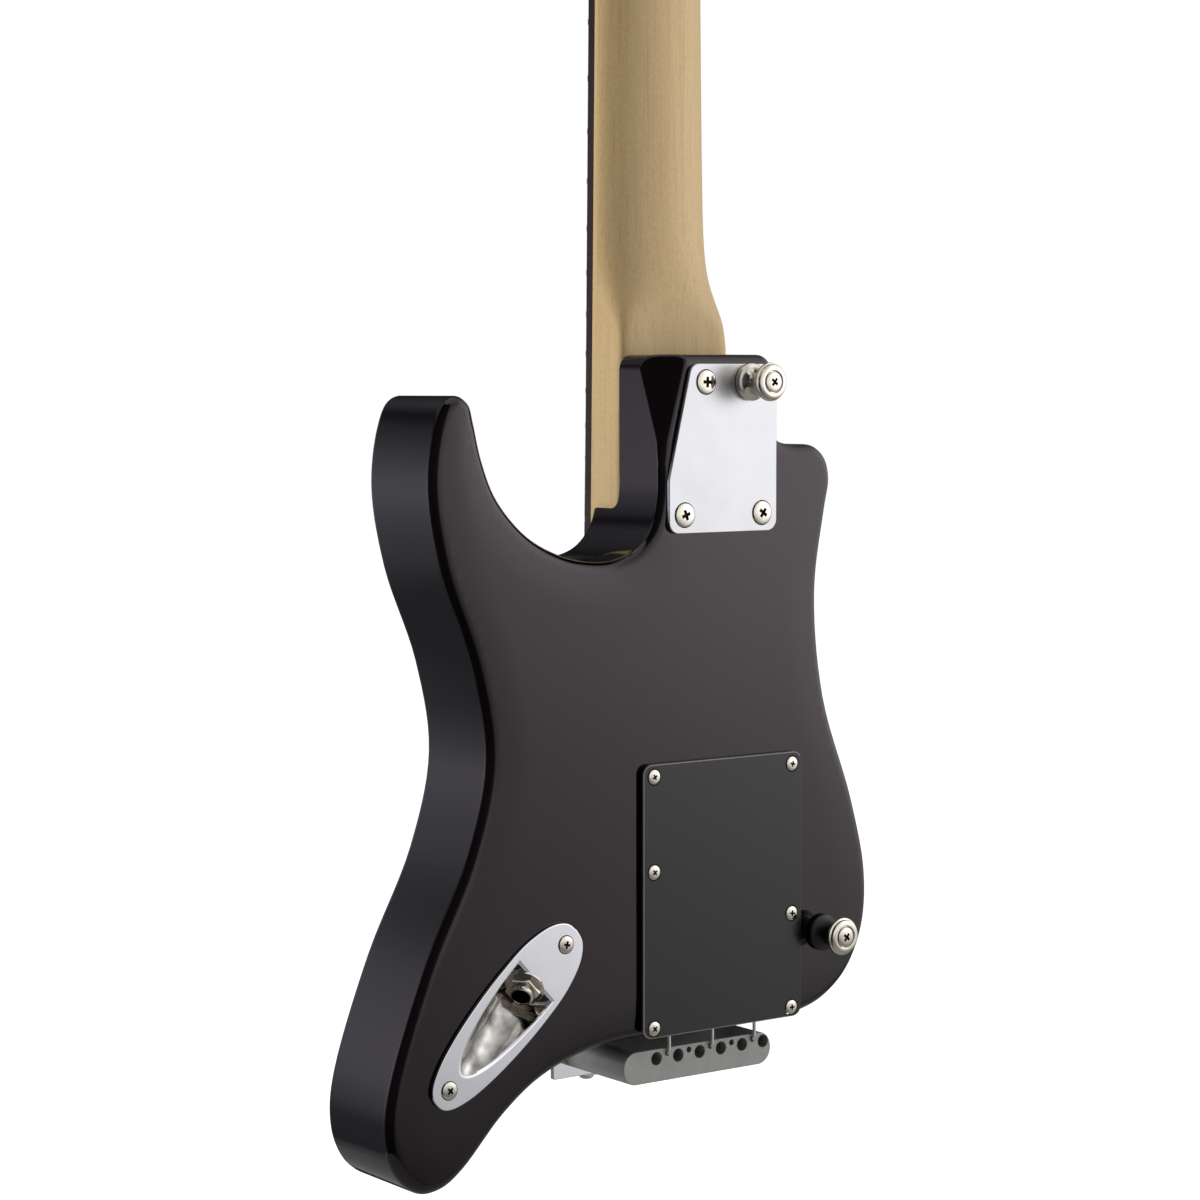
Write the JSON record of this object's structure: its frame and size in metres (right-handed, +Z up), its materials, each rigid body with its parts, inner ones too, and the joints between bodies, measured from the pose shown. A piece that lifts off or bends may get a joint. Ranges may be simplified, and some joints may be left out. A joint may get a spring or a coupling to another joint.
{
  "type": "travel guitar",
  "caption": "Full scale electric guitar with a small cut down black body, maple neck, rear spring cover, recessed jack plate and sprung tremolo bridge.",
  "frame": {"origin": "on the outer face of the rear cover, on the centre line, level with the saddles", "axes": "+Z runs up the neck to the headstock, +Y is out of the back, +X is the treble side"},
  "size_m": [0.228, 0.1023, 0.8808],
  "materials": {
    "black_lacquer": "high gloss black lacquer on solid wood",
    "maple": "satin maple",
    "rosewood": "oiled dark hardwood with pressed in fret wires",
    "bone": "polished bone",
    "black_plastic": "satin black sheet",
    "white_plastic": "gloss off white",
    "chrome": "polished chrome plate",
    "nickel": "nickel plate",
    "cast_zinc": "plain cast metal",
    "steel": "zinc plated steel"
  },
  "bodies": {
    "guitar": {"body": "black_lacquer", "neck": "maple", "fretboard": "rosewood", "nut": "bone", "truss_rod": "steel", "pickguard": "white_plastic", "neck_pickup": "white_plastic", "middle_pickup": "white_plastic", "bridge_pickup": "white_plastic", "volume_pot": "steel", "tone_pot": "steel", "selector_switch": "steel", "back_cover": "black_plastic", "neck_plate": "chrome", "heel_strap_button": "nickel", "lower_strap_button": "nickel", "jack_plate": "chrome", "output_jack": "nickel", "spring_claw": "steel", "string_tree": "chrome", "string_1": "nickel", "tuner_housing_1": "chrome", "string_2": "nickel", "tuner_housing_2": "chrome", "string_3": "nickel", "tuner_housing_3": "chrome", "string_4": "nickel", "tuner_housing_4": "chrome", "string_5": "nickel", "tuner_housing_5": "chrome", "string_6": "nickel", "tuner_housing_6": "chrome", "tremolo_spring_1": "steel", "tremolo_spring_2": "steel", "tremolo_spring_3": "steel"},
    "tremolo": {"tremolo_plate": "chrome", "tremolo_block": "cast_zinc", "saddle_1": "nickel", "saddle_2": "nickel", "saddle_3": "nickel", "saddle_4": "nickel", "saddle_5": "nickel", "saddle_6": "nickel"},
    "tremolo_arm": {"tremolo_arm": "chrome", "tremolo_arm_tip": "white_plastic"},
    "volume_control": {"volume_knob": "white_plastic"},
    "tone_control": {"tone_knob": "white_plastic"},
    "selector": {"selector_lever": "white_plastic"},
    "key_1": {"tuner_key_1": "chrome"},
    "post_1": {"tuner_post_1": "chrome"},
    "key_2": {"tuner_key_2": "chrome"},
    "post_2": {"tuner_post_2": "chrome"},
    "key_3": {"tuner_key_3": "chrome"},
    "post_3": {"tuner_post_3": "chrome"},
    "key_4": {"tuner_key_4": "chrome"},
    "post_4": {"tuner_post_4": "chrome"},
    "key_5": {"tuner_key_5": "chrome"},
    "post_5": {"tuner_post_5": "chrome"},
    "key_6": {"tuner_key_6": "chrome"},
    "post_6": {"tuner_post_6": "chrome"}
  },
  "joints": [
    {"name": "tremolo_tilt", "type": "hinge", "parent": "guitar", "child": "tremolo", "pos_m": [0.006, -0.0473, 0.012], "axis": [-1, 0, 0], "range_deg": [0, 10], "stiffness_Nm_per_rad": 10, "springref_deg": -5.73, "deforming": ["tremolo_spring_1", "tremolo_spring_2", "tremolo_spring_3", "string_1", "string_2", "string_3", "string_4", "string_5", "string_6"]},
    {"name": "tremolo_arm_swing", "type": "hinge", "parent": "tremolo", "child": "tremolo_arm", "pos_m": [0.0358, -0.0493, -0.0161], "axis": [0, -1, 0], "range_deg": [-150, 35]},
    {"name": "volume_turn", "type": "hinge", "parent": "guitar", "child": "volume_control", "pos_m": [0.05806, -0.0503, 0.06001], "axis": [0, -1, 0], "range_deg": [-150, 150]},
    {"name": "tone_turn", "type": "hinge", "parent": "guitar", "child": "tone_control", "pos_m": [0.08196, -0.0503, 0.04206], "axis": [0, -1, 0], "range_deg": [-150, 150]},
    {"name": "selector_tilt", "type": "hinge", "parent": "guitar", "child": "selector", "pos_m": [0.07198, -0.0383, 0.09207], "axis": [0.9004, 0, 0.435], "range_deg": [-22, 22]},
    {"name": "key_turn_1", "type": "hinge", "parent": "guitar", "child": "key_1", "pos_m": [0.01353, -0.0262, 0.81796], "axis": [-0.9687, 0, 0.248], "continuous": true},
    {"name": "post_turn_1", "type": "hinge", "parent": "guitar", "child": "post_1", "pos_m": [0.01239, -0.0317, 0.8135], "axis": [0, -1, 0], "continuous": true},
    {"name": "key_turn_2", "type": "hinge", "parent": "guitar", "child": "key_2", "pos_m": [0.00761, -0.0262, 0.79246], "axis": [-0.9687, 0, 0.248], "continuous": true},
    {"name": "post_turn_2", "type": "hinge", "parent": "guitar", "child": "post_2", "pos_m": [0.00647, -0.0317, 0.788], "axis": [0, -1, 0], "continuous": true},
    {"name": "key_turn_3", "type": "hinge", "parent": "guitar", "child": "key_3", "pos_m": [0.0014, -0.0262, 0.76696], "axis": [-0.9687, 0, 0.248], "continuous": true},
    {"name": "post_turn_3", "type": "hinge", "parent": "guitar", "child": "post_3", "pos_m": [0.00026, -0.0317, 0.7625], "axis": [0, -1, 0], "continuous": true},
    {"name": "key_turn_4", "type": "hinge", "parent": "guitar", "child": "key_4", "pos_m": [-0.00514, -0.0262, 0.74146], "axis": [-0.9687, 0, 0.248], "continuous": true},
    {"name": "post_turn_4", "type": "hinge", "parent": "guitar", "child": "post_4", "pos_m": [-0.00628, -0.0317, 0.737], "axis": [0, -1, 0], "continuous": true},
    {"name": "key_turn_5", "type": "hinge", "parent": "guitar", "child": "key_5", "pos_m": [-0.01199, -0.0262, 0.71596], "axis": [-0.9687, 0, 0.248], "continuous": true},
    {"name": "post_turn_5", "type": "hinge", "parent": "guitar", "child": "post_5", "pos_m": [-0.01313, -0.0317, 0.7115], "axis": [0, -1, 0], "continuous": true},
    {"name": "key_turn_6", "type": "hinge", "parent": "guitar", "child": "key_6", "pos_m": [-0.01911, -0.0262, 0.69046], "axis": [-0.9687, 0, 0.248], "continuous": true},
    {"name": "post_turn_6", "type": "hinge", "parent": "guitar", "child": "post_6", "pos_m": [-0.02025, -0.0317, 0.686], "axis": [0, -1, 0], "continuous": true}
  ],
  "couplings": [
    {"joint": "post_turn_1", "follows": "key_turn_1", "ratio": 0.066667},
    {"joint": "post_turn_2", "follows": "key_turn_2", "ratio": 0.066667},
    {"joint": "post_turn_3", "follows": "key_turn_3", "ratio": 0.066667},
    {"joint": "post_turn_4", "follows": "key_turn_4", "ratio": 0.066667},
    {"joint": "post_turn_5", "follows": "key_turn_5", "ratio": 0.066667},
    {"joint": "post_turn_6", "follows": "key_turn_6", "ratio": 0.066667}
  ]
}
